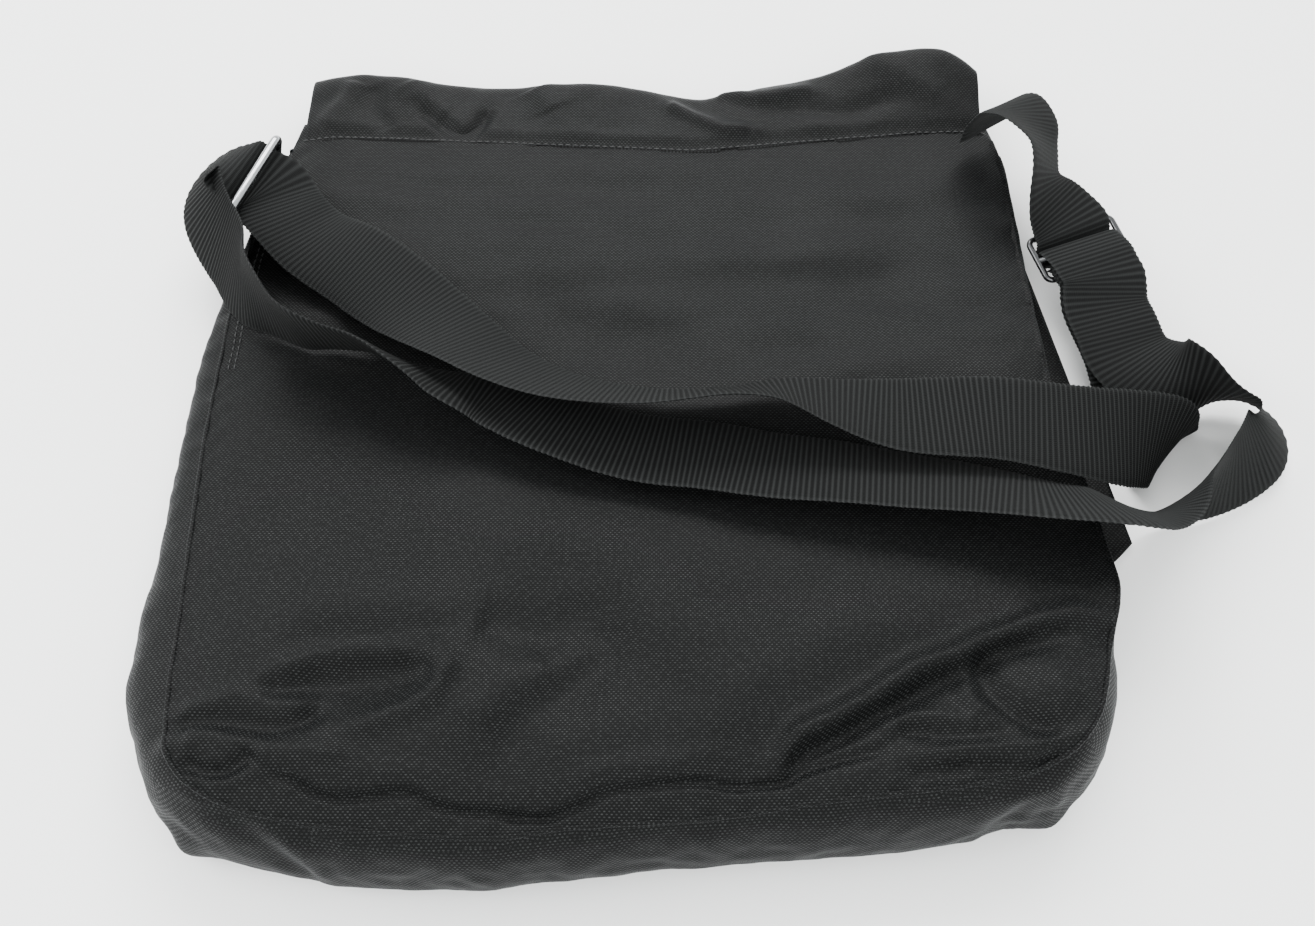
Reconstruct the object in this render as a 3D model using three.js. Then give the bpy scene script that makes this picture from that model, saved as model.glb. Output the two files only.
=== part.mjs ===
// Crossbody messenger bag of black nylon, lying on its flap with the back panel up.
// Millimetres. X runs across the bag, Y from its bottom to its mouth, Z up from the surface that it lies on.
import * as THREE from 'three';

// Driving dimensions
const bagWidth = 320;          // back panel, side seam to side seam
const bagLength = 320;         // back panel, bottom seam to mouth
const mouthHeight = 20;        // how high the lying bag stands at its mouth
const bellyHeight = 44;        // how high it stands near its bottom
const gussetWidth = 50;        // the strip of cloth round the sides and the bottom
const clothThickness = 1.8;
const flapOverhang = 34;       // from the top seam out to the flap's fold
const flapReach = 260;         // from the fold back to the flap's hem, under the bag
const flapSkew = 38;           // how far the hem has swung to the right
const flapRaise = 13;          // how much the flap's right corner stands up
const webbingWidth = 38;
const webbingThickness = 1.5;
const ringWire = 4;
const ringSlot = 9;            // clear height of the ring's slot
const sliderPlate = 3;         // thickness of the slider's metal
const sliderBar = 3.3;
const sliderSlot = 7;
const ringPlay = 1.5;          // side play of the webbing in the ring
const sliderPlay = 0.5;        // and in the slider
const sliderSide = 1.8;        // width of the slider's side bars
const seamGap = 0.3;           // clearance between neighbouring pieces
const doubledGap = 0.8;        // and between the layers of the doubled strap

// Colours and finish
const nylon = { color: 0x1d1f20, roughness: 0.75, metalness: 0 };
const webbing = { color: 0x242627, roughness: 0.7, metalness: 0 };
const gunmetal = { color: 0x4a4b4e, roughness: 0.25, metalness: 1 };
const blackMetal = { color: 0x151516, roughness: 0.3, metalness: 1 };

// Small helpers
const vec = (x, y, z) => new THREE.Vector3(x, y, z);
const degrees = (angle) => THREE.MathUtils.degToRad(angle);
const smooth = (a, b, x) => THREE.MathUtils.smoothstep(x, a, b);

// A value read from a table of [key, value] rows, eased from row to row
function tableValue(rows, key) {
  if (key <= rows[0][0]) return rows[0][1];
  for (let i = 1; i < rows.length; i += 1) {
    const [k0, a] = rows[i - 1];
    const [k1, b] = rows[i];
    if (key <= k1) return a + (b - a) * ((key - k0) / (k1 - k0));
  }
  return rows[rows.length - 1][1];
}

function meshFromTriangles(name, points, faces, finish) {
  const geometry = new THREE.BufferGeometry();
  const places = points.flatMap((p) => [p.x, p.y, p.z]);
  geometry.setAttribute('position', new THREE.Float32BufferAttribute(places, 3));
  geometry.setIndex(faces.flat());
  geometry.computeVertexNormals();
  return namedMesh(name, geometry, finish);
}

function namedMesh(name, geometry, finish) {
  const mesh = new THREE.Mesh(geometry, new THREE.MeshStandardMaterial({ side: THREE.DoubleSide, ...finish }));
  mesh.name = name;
  return mesh;
}

// A sheet of cloth: face(u, v) is its outer face, and its inner face lies one thickness behind it
function clothSheet(name, uStops, vStops, face, finish) {
  const outer = [];
  const inner = [];
  const nudge = 0.002;
  for (const v of vStops) {
    for (const u of uStops) {
      const alongU = face(u + nudge, v).sub(face(u - nudge, v));
      const alongV = face(u, v + nudge).sub(face(u, v - nudge));
      const point = face(u, v);
      outer.push(point);
      inner.push(point.clone().addScaledVector(alongU.cross(alongV).normalize(), -clothThickness));
    }
  }
  const columns = uStops.length;
  const rows = vStops.length;
  const back = outer.length;
  const faces = [];
  const quad = (a, b, c, d) => faces.push([a, b, c], [a, c, d]);
  for (let j = 0; j + 1 < rows; j += 1) {
    for (let i = 0; i + 1 < columns; i += 1) {
      const a = j * columns + i;
      quad(a, a + 1, a + columns + 1, a + columns);
      quad(back + a, back + a + columns, back + a + columns + 1, back + a + 1);
    }
    const left = j * columns;
    const right = left + columns - 1;
    quad(left, left + columns, back + left + columns, back + left);
    quad(right, back + right, back + right + columns, right + columns);
  }
  for (let i = 0; i + 1 < columns; i += 1) {
    const top = (rows - 1) * columns + i;
    quad(i, back + i, back + i + 1, i + 1);
    quad(top, top + 1, back + top + 1, back + top);
  }
  return meshFromTriangles(name, [...outer, ...inner], faces, finish);
}

// Evenly spaced stops from a to b, drawn towards a by power
const stops = (a, b, count, power = 1) =>
  Array.from({ length: count + 1 }, (_, i) => a + (b - a) * (i / count) ** power);

// Outline of the back panel: shares of bagWidth against the share of bagLength from bottom to mouth
const backOutline = {
  left: [[0, -0.415], [0.012, -0.442], [0.03, -0.468], [0.06, -0.488], [0.12, -0.5], [0.24, -0.511],
    [0.45, -0.531], [0.68, -0.54], [0.87, -0.528], [1.03, -0.497]],
  right: [[0, 0.405], [0.012, 0.43], [0.03, 0.455], [0.06, 0.478], [0.12, 0.502], [0.19, 0.52], [0.24, 0.541],
    [0.38, 0.534], [0.5, 0.517], [0.62, 0.512], [0.96, 0.516], [1.03, 0.498]],
  bottom: [[0, 0.012], [0.08, -0.002], [0.24, -0.015], [0.33, -0.018], [0.42, -0.007], [0.6, 0.002],
    [0.76, 0.019], [0.92, 0.032], [1, 0.046]],
  top: [[0, 0], [0.22, -0.006], [0.38, -0.025], [0.58, -0.035], [0.73, -0.018], [1, 0.012]],
};
// Outline of the front panel, which carries the corner tips of the bottom
const frontOutline = {
  left: [[0, -0.488], [0.03, -0.503], [0.08, -0.511], [0.2, -0.516], [0.6, -0.52], [0.87, -0.515], [1.03, -0.5]],
  right: [[0, 0.463], [0.03, 0.474], [0.08, 0.486], [0.2, 0.5], [0.6, 0.502], [0.87, 0.502], [1.03, 0.492]],
  bottom: [[0, 0.012], [0.07, -0.009], [0.15, -0.032], [0.25, -0.039], [0.36, -0.035], [0.52, -0.016],
    [0.69, -0.003], [0.8, 0], [0.88, 0.014], [1, 0.044]],
  top: [[0, -0.01], [0.5, -0.03], [1, -0.005]],
};

// Plan position of a panel's point: u across from left to right, v from bottom to mouth
function outlinePoint(outline, u, v) {
  const left = tableValue(outline.left, v);
  const right = tableValue(outline.right, v);
  const bottomBow = tableValue(outline.bottom, u) * (1 - v) ** 3;
  const bow = bottomBow + tableValue(outline.top, u) * Math.max(v, 0) ** 3;
  return { x: bagWidth * (left + (right - left) * u), y: bagLength * (v - 0.5 + bow) };
}

// Height profile of the lying bag from bottom to mouth, between mouthHeight (0) and bellyHeight (1)
const swell = [[0, 0.8], [0.015, 0.93], [0.04, 1.04], [0.08, 1.08], [0.13, 1], [0.25, 0.8], [0.35, 0.67],
  [0.5, 0.5], [0.68, 0.33], [0.87, 0.15], [1.03, 0]];

// Folds of the back panel: lift in shares of bellyHeight, half width in shares of bagWidth,
// and a path of points in shares of bagWidth and bagLength from the panel's centre
const folds = [
  // slanting ridge, and the valley under it
  { lift: 0.2, width: 0.03, path: [[0.52, -0.255], [0.34, -0.275], [0.2, -0.33], [0.09, -0.41]] },
  { lift: -0.2, width: 0.035, path: [[0.47, -0.3], [0.31, -0.335], [0.2, -0.38], [0.12, -0.43]] },
  // right corner swell
  { lift: 0.14, width: 0.05, path: [[0.4, -0.355], [0.46, -0.36]] },
  // left dent, and its rim
  { lift: -0.22, width: 0.035, path: [[-0.33, -0.33], [-0.26, -0.335]] },
  { lift: 0.13, width: 0.025, path: [[-0.42, -0.31], [-0.3, -0.275], [-0.21, -0.29], [-0.2, -0.35]] },
  // left crease, and the small ridge below it
  { lift: -0.12, width: 0.022, path: [[-0.49, -0.385], [-0.4, -0.39], [-0.32, -0.37]] },
  { lift: 0.1, width: 0.02, path: [[-0.46, -0.415], [-0.39, -0.43], [-0.33, -0.43]] },
  // rise in the middle, and the hollow below the mouth
  { lift: 0.07, width: 0.07, path: [[-0.24, -0.19], [-0.02, -0.16], [0.04, -0.27]] },
  { lift: -0.06, width: 0.07, path: [[-0.3, 0.05], [0, 0.12], [0.3, 0.2]] },
];

function distanceToPath(px, py, path) {
  let best = Infinity;
  for (let i = 0; i + 1 < path.length; i += 1) {
    const [ax, ay] = path[i];
    const [bx, by] = path[i + 1];
    const t = ((px - ax) * (bx - ax) + (py - ay) * (by - ay)) / ((bx - ax) ** 2 + (by - ay) ** 2);
    const c = THREE.MathUtils.clamp(t, 0, 1);
    best = Math.min(best, Math.hypot(px - ax - (bx - ax) * c, py - ay - (by - ay) * c));
  }
  return best;
}

// The cloth droops to its side seams: depth in shares of bellyHeight, reach in shares of bagWidth
const droop = 0.08;
const droopReach = 0.06;

// Height of the back panel's outer face
function backHeight(x, y) {
  const px = x / bagWidth;
  const py = y / bagLength;
  const toLeftSeam = px - tableValue(backOutline.left, py + 0.5);
  const toRightSeam = tableValue(backOutline.right, py + 0.5) - px;
  const toSeam = Math.min(toLeftSeam, toRightSeam);
  let height = mouthHeight + (bellyHeight - mouthHeight) * tableValue(swell, py + 0.5);
  height -= bellyHeight * droop * (1 - smooth(0, droopReach, toSeam)) * smooth(0.06, 0.2, py + 0.5);
  for (const fold of folds) {
    height += bellyHeight * fold.lift * Math.exp(-((distanceToPath(px, py, fold.path) / fold.width) ** 2));
  }
  return height;
}

// The front panel rests on the flap, and on the ground beyond the flap's hem
const frontRest = (y) => (clothThickness + seamGap) * smooth(-0.36 * bagLength, -0.27 * bagLength, y);

function backFace(u, v) {
  const { x, y } = outlinePoint(backOutline, u, v);
  return vec(x, y, backHeight(x, y));
}

function frontFace(u, v) {
  const { x, y } = outlinePoint(frontOutline, 1 - u, v);
  return vec(x, y, frontRest(y));
}

// The gusset runs round the bag: e from 0 at the left of the mouth, round the bottom, to 1 at the right
const leftCorner = 0.34;
const rightCorner = 0.66;
const mouthEnd = 0.98;

function edgeParameters(e) {
  if (e < leftCorner) return { u: 0, v: mouthEnd * (1 - e / leftCorner) };
  if (e < rightCorner) return { u: (e - leftCorner) / (rightCorner - leftCorner), v: 0 };
  return { u: 1, v: mouthEnd * ((e - rightCorner) / (1 - rightCorner)) };
}

// How far the gusset swells out (or tucks in) halfway down, in shares of gussetWidth
const gussetSwell = [[0, 0.06], [0.05, 0.1], [0.1, 0.19], [0.14, 0.25], [0.19, 0.26], [0.23, 0.3], [0.27, 0.35],
  [0.3, 0.32], [0.33, 0.17], [0.345, 0.12], [0.37, 0.1], [0.45, 0.09], [0.6, 0.1], [0.65, 0.12], [0.67, 0.16],
  [0.7, 0.14], [0.74, 0.04], [0.8, -0.24], [0.9, -0.3], [1, -0.3]];

function gussetFace(e, s) {
  const { u, v } = edgeParameters(e);
  const before = edgeParameters(e - 0.02);
  const after = edgeParameters(e + 0.02);
  const a = outlinePoint(backOutline, before.u, before.v);
  const b = outlinePoint(backOutline, after.u, after.v);
  const run = Math.hypot(b.x - a.x, b.y - a.y);
  const outX = (b.y - a.y) / run;
  const outY = (a.x - b.x) / run;
  const top = outlinePoint(backOutline, u, v);
  const foot = outlinePoint(frontOutline, u, v);
  const topHeight = backHeight(top.x, top.y) - clothThickness - seamGap;
  const footHeight = frontRest(foot.y) + clothThickness + seamGap;
  const down = (1 - Math.cos(Math.PI * s)) / 2;
  const swellHere = tableValue(gussetSwell, e);
  const tucked = smooth(0, 0.2, -swellHere);
  const out = gussetWidth * swellHere * Math.sin(Math.PI * s) + seamGap - (seamGap + clothThickness) * tucked;
  return vec(
    top.x + (foot.x - top.x) * down + out * outX,
    top.y + (foot.y - top.y) * down + out * outY,
    topHeight + (footHeight - topHeight) * down,
  );
}

// The flap: sewn on the back panel near the mouth, out over the mouth, round, and back under the bag
const flapLap = 8;             // how much of the flap lies on the back panel below its seam
const flapFold = [[0, 0.02], [0.1, 0.02], [0.2, 0.004], [0.36, 0.004], [0.46, 0.002], [0.57, -0.02], [0.66, -0.01],
  [0.75, 0.01], [0.84, 0.04], [0.94, 0.055], [0.98, 0.045], [1, 0.02]];
const flapWave = [[0, 0.1], [0.1, 0.25], [0.22, 0.1], [0.3, -0.3], [0.38, 0.25], [0.5, 0.1], [0.57, -0.1],
  [0.61, -0.35], [0.66, 0.25], [0.75, 0.2], [0.88, 0.9], [0.95, 1], [1, 0.8]];
const flapEdgeLeft = -0.49;
const flapEdgeRight = 0.492;
const hemLeft = -0.3;          // the hem's height against its middle, in shares of flapSkew
const hemCorner = 0.035;       // rounding of the hem's corners, share of bagWidth

// Shares of the flap's length where its fold starts and ends
const bendStart = 0.22;
const bendEnd = 0.36;

function flapFace(u, w) {
  const across = flapEdgeLeft + (flapEdgeRight - flapEdgeLeft) * u;
  const foldY = bagLength / 2 + flapOverhang + bagLength * tableValue(flapFold, u);
  const seamY = bagLength * (0.5 + tableValue(backOutline.top, u)) - flapLap;
  const bendDepth = mouthHeight / 2;
  const lie = clothThickness + 2 * seamGap;
  const raise = (y) => flapRaise * tableValue(flapWave, u) * smooth(seamY + flapLap, foldY, y);
  const foldX = bagWidth * across;
  if (w <= bendStart) {
    const y = seamY + (foldY - bendDepth - seamY) * (w / bendStart);
    return vec(foldX, y, backHeight(foldX, Math.min(y, bagLength / 2)) + lie + raise(y));
  }
  const topHeight = backHeight(foldX, bagLength / 2) + lie + raise(foldY - bendDepth);
  if (w < bendEnd) {
    const turn = Math.PI * ((w - bendStart) / (bendEnd - bendStart));
    return vec(foldX, foldY - bendDepth + bendDepth * Math.sin(turn), (topHeight * (1 + Math.cos(turn))) / 2);
  }
  const down = (w - bendEnd) / (1 - bendEnd);
  const nearSide = Math.max(Math.min(u, 1 - u), 0) / hemCorner;
  const corner = nearSide < 1 ? bagWidth * hemCorner * (1 - Math.sqrt(nearSide * (2 - nearSide))) : 0;
  const hemY = bagLength / 2 + flapOverhang - flapReach + flapSkew * (u - 0.5 + hemLeft / 2) + corner;
  const startY = foldY - bendDepth;
  return vec(foldX + flapSkew * down, startY + (hemY - startY) * down, 0);
}

// A length of webbing through stations: plan shares of the bag, rest height, lift in webbing widths,
// and the direction of one edge, as a compass turn from X and a rise, in degrees
const overBag = (row) => backHeight(row.x * bagWidth, row.y * bagLength);

function strapStation([x, y, over, lift, turn, rise]) {
  const row = { x, y };
  const centre = vec(x * bagWidth, y * bagLength, over * overBag(row) + lift * webbingWidth);
  const edge = vec(
    Math.cos(degrees(rise)) * Math.cos(degrees(turn)),
    Math.cos(degrees(rise)) * Math.sin(degrees(turn)),
    Math.sin(degrees(rise)),
  );
  return { centre, edge };
}

// Shift stations off their own face, as the upper layer of a doubled strap lies
function layered(stations, layers) {
  return stations.map(({ centre, edge }, i) => {
    const ahead = stations[Math.min(i + 1, stations.length - 1)].centre;
    const behind = stations[Math.max(i - 1, 0)].centre;
    const run = ahead.clone().sub(behind).normalize();
    const normal = run.cross(edge).normalize();
    if (normal.z < 0) normal.negate();
    return { centre: centre.clone().addScaledVector(normal, layers * (webbingThickness + doubledGap)), edge };
  });
}

function webbingStrip(name, stations, steps) {
  const curve = new THREE.CatmullRomCurve3(stations.map((s) => s.centre), false, 'centripetal');
  const points = [];
  for (let i = 0; i <= steps; i += 1) {
    const t = i / steps;
    const place = t * (stations.length - 1);
    const k = Math.min(Math.floor(place), stations.length - 2);
    const edge = stations[k].edge.clone().lerp(stations[k + 1].edge, place - k);
    const centre = curve.getPoint(t);
    const run = curve.getTangent(t);
    const across = edge.addScaledVector(run, -edge.dot(run)).normalize();
    const normal = run.clone().cross(across).normalize();
    for (const [side, face] of [[1, 1], [-1, 1], [-1, -1], [1, -1]]) {
      points.push(centre.clone()
        .addScaledVector(across, (side * webbingWidth) / 2)
        .addScaledVector(normal, (face * webbingThickness) / 2));
    }
  }
  const faces = [[0, 2, 1], [0, 3, 2]];
  for (let i = 0; i < steps; i += 1) {
    for (let k = 0; k < 4; k += 1) {
      const a = i * 4 + k;
      const b = i * 4 + ((k + 1) % 4);
      faces.push([a, b + 4, a + 4], [a, b, b + 4]);
    }
  }
  const last = steps * 4;
  faces.push([last, last + 1, last + 2], [last, last + 2, last + 3]);
  return meshFromTriangles(name, points, faces, webbing);
}

// Ring and slider: their places, and the direction of their bars
const ringPlace = vec(-0.519 * bagWidth, 0.354 * bagLength, 2.25 * mouthHeight);   // its upper bar
const ringTurn = 72;
const sliderPlace = vec(0.597 * bagWidth, 0.288 * bagLength, 0.55 * webbingWidth);
const sliderTurn = 21;
const metalCorner = 3;

function roundedRectangle(shape, width, height, radius, cx = 0, cy = 0) {
  const x = width / 2;
  const y = height / 2;
  const corners = [[x, y, 0], [-x, y, 90], [-x, -y, 180], [x, -y, 270]];
  for (const [px, py, start] of corners) {
    const mx = cx + px - Math.sign(px) * radius;
    const my = cy + py - Math.sign(py) * radius;
    shape.absarc(mx, my, radius, degrees(start), degrees(start + 90), false);
  }
  shape.closePath();
  return shape;
}

function metalFrame(name, width, side, slots, slotHeight, bar, thickness, finish) {
  const pitch = slotHeight + bar;
  const outline = roundedRectangle(new THREE.Shape(), width + 2 * side, slots * pitch + bar, metalCorner);
  for (let i = 0; i < slots; i += 1) {
    const centre = (i - (slots - 1) / 2) * pitch;
    outline.holes.push(roundedRectangle(new THREE.Path(), width, slotHeight, 1, 0, centre));
  }
  const bevel = 0.25 * thickness;
  const geometry = new THREE.ExtrudeGeometry(outline, {
    depth: thickness - 2 * bevel, bevelEnabled: true, bevelThickness: bevel, bevelSize: bevel,
    bevelOffset: -bevel, bevelSegments: 1, curveSegments: 2,
  });
  geometry.translate(0, 0, -thickness / 2 + bevel);
  return namedMesh(name, geometry, finish);
}

// Stations in a fitting's own frame: forward past its bars, up off its face; edge along its bars
function fittingStations(place, turn, pairs, tilt = 0) {
  const edge = vec(Math.cos(degrees(turn)), Math.sin(degrees(turn)), 0);
  const level = vec(Math.sin(degrees(turn)), -Math.cos(degrees(turn)), 0);
  const forward = level.clone().applyAxisAngle(edge, degrees(tilt));
  const up = vec(0, 0, 1).applyAxisAngle(edge, degrees(tilt));
  return pairs.map(([along, off]) => ({
    centre: place.clone().addScaledVector(forward, along).addScaledVector(up, off),
    edge: edge.clone(),
  }));
}

const halfPlate = sliderPlate / 2 + seamGap + webbingThickness / 2;
const layer = webbingThickness + seamGap;
const barPitch = sliderSlot + sliderBar;
const sliderTilt = 10;

// The running strap over the far bar, under the middle one and over the near one
const sliderWeave = [[-barPitch, halfPlate],
  [-0.76 * barPitch, halfPlate - 0.2], [-0.5 * barPitch, -1], [-0.24 * barPitch, -halfPlate - 0.9 * layer],
  [0, -halfPlate - layer], [0.24 * barPitch, -halfPlate - 0.9 * layer], [0.5 * barPitch, -1],
  [0.78 * barPitch, halfPlate - 0.2], [barPitch, halfPlate], [1.3 * barPitch, halfPlate],
  [1.8 * barPitch, halfPlate]];
// The sewn end: its tail up through the near slot from its turn round the middle bar
const sewnLoop = [[1.8 * barPitch, halfPlate + layer], [1.3 * barPitch, halfPlate + layer],
  [0.95 * barPitch, halfPlate + layer], [0.66 * barPitch, halfPlate + layer - 0.4], [0.4 * barPitch, 0.7],
  [0.22 * barPitch, -halfPlate + 0.4], [0, -halfPlate], [-halfPlate - 0.5, -0.5 * halfPlate],
  [-halfPlate - 0.5, 0.5 * halfPlate], [0, halfPlate + 0.3], [0.45 * barPitch, halfPlate + 1.5 * layer],
  [0.9 * barPitch, halfPlate + 2.1 * layer], [1.3 * barPitch, halfPlate + 2.1 * layer],
  [1.8 * barPitch, halfPlate + 2.1 * layer]];

// The doubled strap from the slider down past the bag's right side
const doubledRun = [
  [0.619, 0.2, 0, 0.45, 22, 3],
  [0.629, 0.166, 0, 0.39, 22, 2],
  [0.639, 0.131, 0, 0.33, 23, 1],
].map(strapStation);

// Lower strand: from the doubled strap round the right loop, back along the bag, to the ring
const lowerRun = [
  [0.652, 0.108, 0, 0.41, 25, 6],
  [0.672, 0.081, 0, 0.47, 33, 26],
  [0.692, 0.067, 0, 0.53, 40, 50],
  [0.713, 0.061, 0, 0.57, 44, 80],
  [0.731, 0.053, 0, 0.58, -137, 60],
  [0.753, 0.045, 0, 0.58, -128, 56],
  [0.773, 0.039, 0, 0.57, -118, 56],
  [0.787, 0.022, 0, 0.54, -150, 42],
  [0.79, 0.002, 0, 0.5, -176, 36],
  [0.781, -0.016, 0, 0.49, 165, 40],
  [0.756, -0.042, 0, 0.47, 140, 55],
  [0.728, -0.062, 0, 0.47, 128, 64],
  [0.688, -0.087, 0, 0.53, 105, 78],
  [0.651, -0.106, 0, 0.58, -80, 78],
  [0.616, -0.131, 0, 0.75, -90, 64],
  [0.583, -0.144, 0, 0.97, -94, 54],
  [0.544, -0.152, 0, 1.22, -97, 45],
  [0.469, -0.147, 1, 0.35, -98, 40],
  [0.391, -0.128, 1, 0.29, -100, 33],
  [0.312, -0.113, 1, 0.24, -98, 28],
  [0.234, -0.1, 1, 0.23, -98, 23],
  [0.157, -0.089, 1, 0.2, -98, 20],
  [0.084, -0.074, 1, 0.18, -98, 17],
  [-0.009, -0.059, 1, 0.15, -100, 17],
  [-0.11, -0.024, 1, 0.21, -100, 21],
  [-0.181, 0.009, 1, 0.23, -102, 28],
  [-0.219, 0.02, 1, 0.31, -100, 37],
  [-0.25, 0.03, 1, 0.35, -90, 45],
  [-0.291, 0.047, 1, 0.47, -78, 54],
  [-0.337, 0.068, 1, 0.53, -74, 62],
  [-0.377, 0.077, 1, 0.52, -67, 66],
  [-0.414, 0.087, 1, 0.53, -60, 69],
  [-0.445, 0.108, 1, 0.51, -46, 70],
  [-0.484, 0.146, 1, 0.51, -26, 64],
  [-0.514, 0.186, 0, 1.13, -10, 58],
  [-0.539, 0.234, 0, 1.04, 0, 54],
  [-0.562, 0.27, 0, 1.01, 7, 52],
  [-0.581, 0.305, 0, 1.05, 4, 48],
  [-0.588, 0.333, 0, 1.11, -10, 45],
  [-0.586, 0.358, 0, 1.14, -34, 42],
  [-0.569, 0.37, 0, 1.2, -70, 32],
].map(strapStation);

// Upper strand: from the ring back over the bag and round under itself to the doubled strap
const upperRun = [
  [-0.495, 0.336, 0, 0.96, 73, 0],
  [-0.484, 0.319, 1, 0.32, 73, -10],
  [-0.47, 0.302, 1, 0.3, 69, -12],
  [-0.45, 0.281, 1, 0.26, 64, -10],
  [-0.425, 0.258, 1, 0.25, 60, -3],
  [-0.375, 0.222, 1, 0.26, 53, 10],
  [-0.319, 0.174, 1, 0.28, 56, 6],
  [-0.268, 0.129, 1, 0.34, 64, -13],
  [-0.219, 0.087, 1, 0.43, 66, -26],
  [-0.169, 0.047, 1, 0.45, 68, -35],
  [-0.113, 0.016, 1, 0.45, 71, -40],
  [-0.062, -0.001, 1, 0.47, 74, -44],
  [0.013, -0.011, 1, 0.49, 76, -48],
  [0.112, -0.006, 1, 0.52, 82, -55],
  [0.17, -0.003, 1, 0.49, 78, -44],
  [0.239, -0.015, 1, 0.4, 72, -28],
  [0.311, -0.028, 1, 0.36, 74, -10],
  [0.424, -0.033, 1, 0.36, 78, -2],
  [0.496, -0.042, 1, 0.35, 78, 2],
  [0.565, -0.043, 0, 1.0, 73, 10],
  [0.624, -0.031, 0, 0.75, 61, 16],
  [0.658, -0.019, 0, 0.51, 50, 14],
  [0.67, -0.013, 0, 0.3, 47, 6],
  [0.666, 0.0, 0, 0.1, 44, 0],
  [0.658, 0.034, 0, 0.04, 38, 0],
  [0.65, 0.075, 0, 0.13, 30, 0],
].map(strapStation);

// Single strap: from the slider over its crest to the bag's right corner
const cornerRun = [
  [0.57, 0.336, 0, 0.74, 27, -10],
  [0.558, 0.347, 0, 0.84, 36, -20],
  [0.551, 0.359, 0, 0.96, 46, -30],
  [0.549, 0.373, 0, 1.07, 53, -38],
  [0.546, 0.402, 0, 1.18, 55, -39],
  [0.537, 0.427, 0, 1.24, 49, -30],
  [0.525, 0.459, 0, 1.24, 45, -20],
  [0.509, 0.483, 0, 1.18, 44, -15],
  [0.495, 0.492, 0, 0.97, 42, -10],
  [0.491, 0.489, 0, 0.74, 40, -6],
].map(strapStation);

// Ring: the strap passes under its near bar and turns up, and the tab holds its far bar
const barReach = ringWire / 2 + seamGap + webbingThickness / 2;
const ringPitch = ringSlot + ringWire;
const ringTilt = -72;
const ringForward = vec(
  Math.sin(degrees(ringTurn)) * Math.cos(degrees(ringTilt)),
  -Math.cos(degrees(ringTurn)) * Math.cos(degrees(ringTilt)),
  -Math.sin(degrees(ringTilt)),
);
const ringCentre = ringPlace.clone().addScaledVector(ringForward, -ringPitch / 2);
const farBar = ringPlace.clone().addScaledVector(ringForward, -ringPitch);
const inReaches = (pairs) => pairs.map(([along, off]) => [along * barReach, off * barReach]);
const entryPairs = [[1.7, -2.1], [0.2, -1.7], [-1, -1.3]];
const exitPairs = [[1.15, -1.15], [1.6, -0.3], [2.2, 0.4]];
const ringEntry = fittingStations(ringPlace, ringTurn, inReaches(entryPairs));
const ringExit = fittingStations(ringPlace, ringTurn + 180, inReaches(exitPairs));
const tabLoop = fittingStations(farBar, ringTurn, inReaches([
  [-4, -6.8], [-3.2, -4.8], [-2.2, -2.8], [-1.35, -1.1], [-1.1, 0.3], [0, 1.2], [1.1, 0.3], [0.7, -0.9],
  [-0.5, -2.2], [-1.9, -3.8], [-2.95, -6],
]));

const bag = new THREE.Group();

// Cloth
const backColumns = stops(0, 1, 27);
const backRows = [...stops(0, 0.06, 4), ...stops(0.09, 1.03, 20)];
bag.add(clothSheet('back_panel', backColumns, backRows, backFace, nylon));
bag.add(clothSheet('front_panel', stops(0, 1, 14), stops(0, 0.97, 16), frontFace, nylon));
const sideGap = 0.0015;
const gussetDown = stops(0.06, 0.96, 7);
const gussetSpans = {
  gusset_left: stops(0, leftCorner - sideGap, 24),
  gusset_bottom: stops(leftCorner + sideGap, rightCorner - sideGap, 25),
  gusset_right: stops(rightCorner + sideGap, 1, 24),
};
for (const [name, span] of Object.entries(gussetSpans)) {
  bag.add(clothSheet(name, span, gussetDown, gussetFace, nylon));
}
const flapRows = [
  ...stops(0, bendStart, 4),
  ...stops(bendStart, bendEnd, 7).slice(1),
  ...stops(bendEnd, 1, 11).slice(1),
];
bag.add(clothSheet('flap', stops(0, 1, 25), flapRows, flapFace, nylon));

// Hardware
const ringWidth = webbingWidth + 2 * ringPlay;
const ring = metalFrame('ring', ringWidth, ringWire, 1, ringSlot, ringWire, ringWire, gunmetal);
ring.position.copy(ringCentre);
ring.rotation.set(degrees(ringTilt), 0, degrees(ringTurn), 'ZXY');
bag.add(ring);
const sliderWidth = webbingWidth + 2 * sliderPlay;
const slider = metalFrame(
  'slider', sliderWidth, sliderSide, 2, sliderSlot, sliderBar, sliderPlate, blackMetal,
);
slider.position.copy(sliderPlace);
slider.rotation.set(degrees(sliderTilt), 0, degrees(sliderTurn), 'ZXY');
bag.add(slider);

// Webbing
const weave = fittingStations(sliderPlace, sliderTurn, sliderWeave, sliderTilt);
const sewn = fittingStations(sliderPlace, sliderTurn, sewnLoop, sliderTilt);
bag.add(webbingStrip('ring_tab', tabLoop, 26));
bag.add(webbingStrip('strap_corner', [...weave.slice(0, 6).reverse(), ...cornerRun], 44));
bag.add(webbingStrip('strap_upper', [
  ...ringEntry.reverse(), ...upperRun, ...doubledRun.toReversed(), ...weave.slice(6).reverse(),
], 100));
bag.add(webbingStrip('strap_lower', [
  ...sewn, ...layered(doubledRun, 1), ...lowerRun, ...ringExit.reverse(),
], 130));

export default bag;
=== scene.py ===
# %% [markdown]
# A small messenger bag of thin black nylon lies face down on a pale table, with its long webbing strap
# thrown across its back. The CAD solids give every piece its place. Here each one gets its cloth, its
# folds, its ribs and its stitches. The lesson starts with the fixed frame and a few helpers.
# %% The frame and the helpers
import math

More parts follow.
